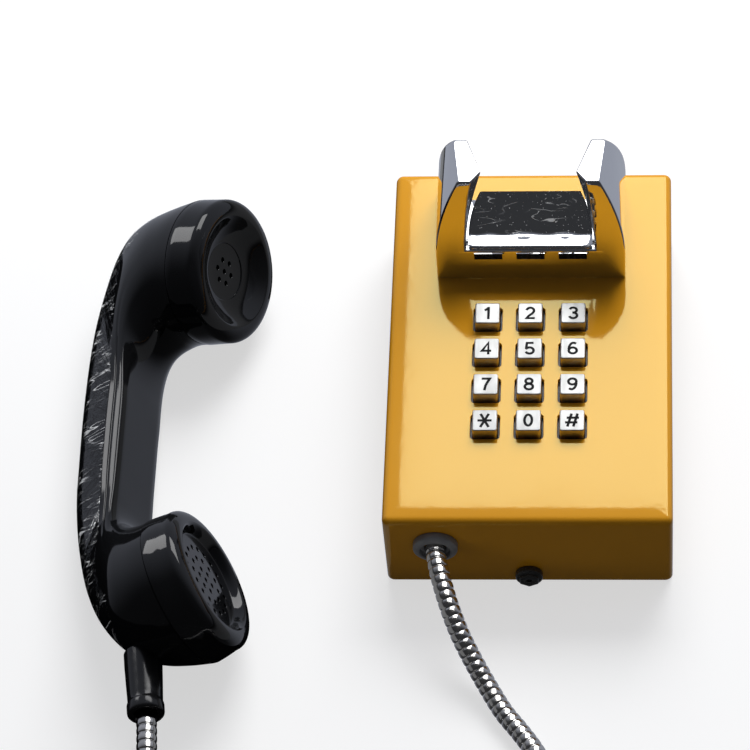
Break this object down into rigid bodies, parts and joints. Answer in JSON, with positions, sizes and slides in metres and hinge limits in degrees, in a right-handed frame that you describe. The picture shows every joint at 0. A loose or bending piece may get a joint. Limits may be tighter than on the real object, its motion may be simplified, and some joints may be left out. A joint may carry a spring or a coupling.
{
  "type": "wall telephone",
  "caption": "Compact vandal-resistant wall telephone: steel housing, metal keypad, chrome cradle, and a corded handset with armoured hose.",
  "frame": {"origin": "centre of the housing's back, on the wall plane, midway between the four wall fixing holes", "axes": "+X to the right seen from the front, +Y up the wall when hung, +Z out of the wall through the keypad"},
  "size_m": [0.2532, 0.3943, 0.1035],
  "materials": {
    "body_paint": "gloss",
    "chrome": "polished",
    "key_metal": "satin",
    "gloss_black": "gloss",
    "black_steel": "satin",
    "black_rubber": "matte",
    "silicone": "matte",
    "zinc_steel": "satin",
    "hose_steel": "polished",
    "circuit_board": "satin",
    "green_plastic": "satin",
    "dark_plastic": "satin",
    "pale_plastic": "satin",
    "reed_glass": "gloss",
    "brass": "satin",
    "wire_cover": "satin"
  },
  "bodies": {
    "root": {"housing": "body_paint", "cradle": "chrome", "cord_gland": "gloss_black", "lock_screw": "black_steel", "keypad_gasket": "black_rubber", "line_grommet": "black_rubber", "keypad_mat": "silicone", "back_plate": "zinc_steel", "weld_studs": "zinc_steel", "top_bracket": "zinc_steel", "cradle_screws": "zinc_steel", "hook_pin": "zinc_steel", "hook_spring": "zinc_steel", "keypad_frame": "zinc_steel", "keypad_nuts": "zinc_steel", "board_screws": "zinc_steel", "gland_nut": "zinc_steel", "cord_anchor": "zinc_steel", "anchor_screw": "zinc_steel", "lock_nut": "zinc_steel", "cord_lead": "hose_steel", "cord_coil": "hose_steel", "cord_tail": "hose_steel", "keypad_pcb": "circuit_board", "main_board": "circuit_board", "line_terminal": "green_plastic", "line_transformer": "dark_plastic", "ringer": "dark_plastic", "reed_holder": "pale_plastic", "keypad_ribbon": "pale_plastic", "reed_switch": "reed_glass", "board_standoffs": "brass", "earth_stud": "brass"},
    "hook_flap": {"hook_flap": "chrome", "hook_magnet": "zinc_steel"},
    "key_1": {"key_1": "key_metal"},
    "key_2": {"key_2": "key_metal"},
    "key_3": {"key_3": "key_metal"},
    "key_4": {"key_4": "key_metal"},
    "key_5": {"key_5": "key_metal"},
    "key_6": {"key_6": "key_metal"},
    "key_7": {"key_7": "key_metal"},
    "key_8": {"key_8": "key_metal"},
    "key_9": {"key_9": "key_metal"},
    "key_star": {"key_star": "key_metal"},
    "key_0": {"key_0": "key_metal"},
    "key_hash": {"key_hash": "key_metal"},
    "handset": {"handset_handle": "gloss_black", "ear_cap": "gloss_black", "mouth_cap": "gloss_black", "receiver_capsule": "zinc_steel", "receiver_pad": "black_rubber", "microphone_capsule": "zinc_steel", "microphone_pad": "black_rubber", "cord_sleeve": "black_rubber", "sleeve_clip": "zinc_steel", "handset_loom": "wire_cover"}
  },
  "joints": [
    {"name": "key_1_press", "type": "slide", "parent": "root", "child": "key_1", "axis": [0, 0, -1], "range_m": [0, 0.001], "stiffness_N_per_m": 900, "springref_m": -0.0008},
    {"name": "key_2_press", "type": "slide", "parent": "root", "child": "key_2", "axis": [0, 0, -1], "range_m": [0, 0.001], "stiffness_N_per_m": 900, "springref_m": -0.0008},
    {"name": "key_3_press", "type": "slide", "parent": "root", "child": "key_3", "axis": [0, 0, -1], "range_m": [0, 0.001], "stiffness_N_per_m": 900, "springref_m": -0.0008},
    {"name": "key_4_press", "type": "slide", "parent": "root", "child": "key_4", "axis": [0, 0, -1], "range_m": [0, 0.001], "stiffness_N_per_m": 900, "springref_m": -0.0008},
    {"name": "key_5_press", "type": "slide", "parent": "root", "child": "key_5", "axis": [0, 0, -1], "range_m": [0, 0.001], "stiffness_N_per_m": 900, "springref_m": -0.0008},
    {"name": "key_6_press", "type": "slide", "parent": "root", "child": "key_6", "axis": [0, 0, -1], "range_m": [0, 0.001], "stiffness_N_per_m": 900, "springref_m": -0.0008},
    {"name": "key_7_press", "type": "slide", "parent": "root", "child": "key_7", "axis": [0, 0, -1], "range_m": [0, 0.001], "stiffness_N_per_m": 900, "springref_m": -0.0008},
    {"name": "key_8_press", "type": "slide", "parent": "root", "child": "key_8", "axis": [0, 0, -1], "range_m": [0, 0.001], "stiffness_N_per_m": 900, "springref_m": -0.0008},
    {"name": "key_9_press", "type": "slide", "parent": "root", "child": "key_9", "axis": [0, 0, -1], "range_m": [0, 0.001], "stiffness_N_per_m": 900, "springref_m": -0.0008},
    {"name": "key_star_press", "type": "slide", "parent": "root", "child": "key_star", "axis": [0, 0, -1], "range_m": [0, 0.001], "stiffness_N_per_m": 900, "springref_m": -0.0008},
    {"name": "key_0_press", "type": "slide", "parent": "root", "child": "key_0", "axis": [0, 0, -1], "range_m": [0, 0.001], "stiffness_N_per_m": 900, "springref_m": -0.0008},
    {"name": "key_hash_press", "type": "slide", "parent": "root", "child": "key_hash", "axis": [0, 0, -1], "range_m": [0, 0.001], "stiffness_N_per_m": 900, "springref_m": -0.0008},
    {"name": "hook_flap_press", "type": "hinge", "parent": "root", "child": "hook_flap", "pos_m": [0, 0.04039, 0.06245], "axis": [-1, 0, 0], "range_deg": [0, 10], "stiffness_Nm_per_rad": 0.12, "springref_deg": -20.05, "deforming": ["hook_spring"]},
    {"name": "handset_lift", "type": "slide", "parent": "root", "child": "handset", "axis": [0, 0, 1], "range_m": [0, 0.1]}
  ]
}
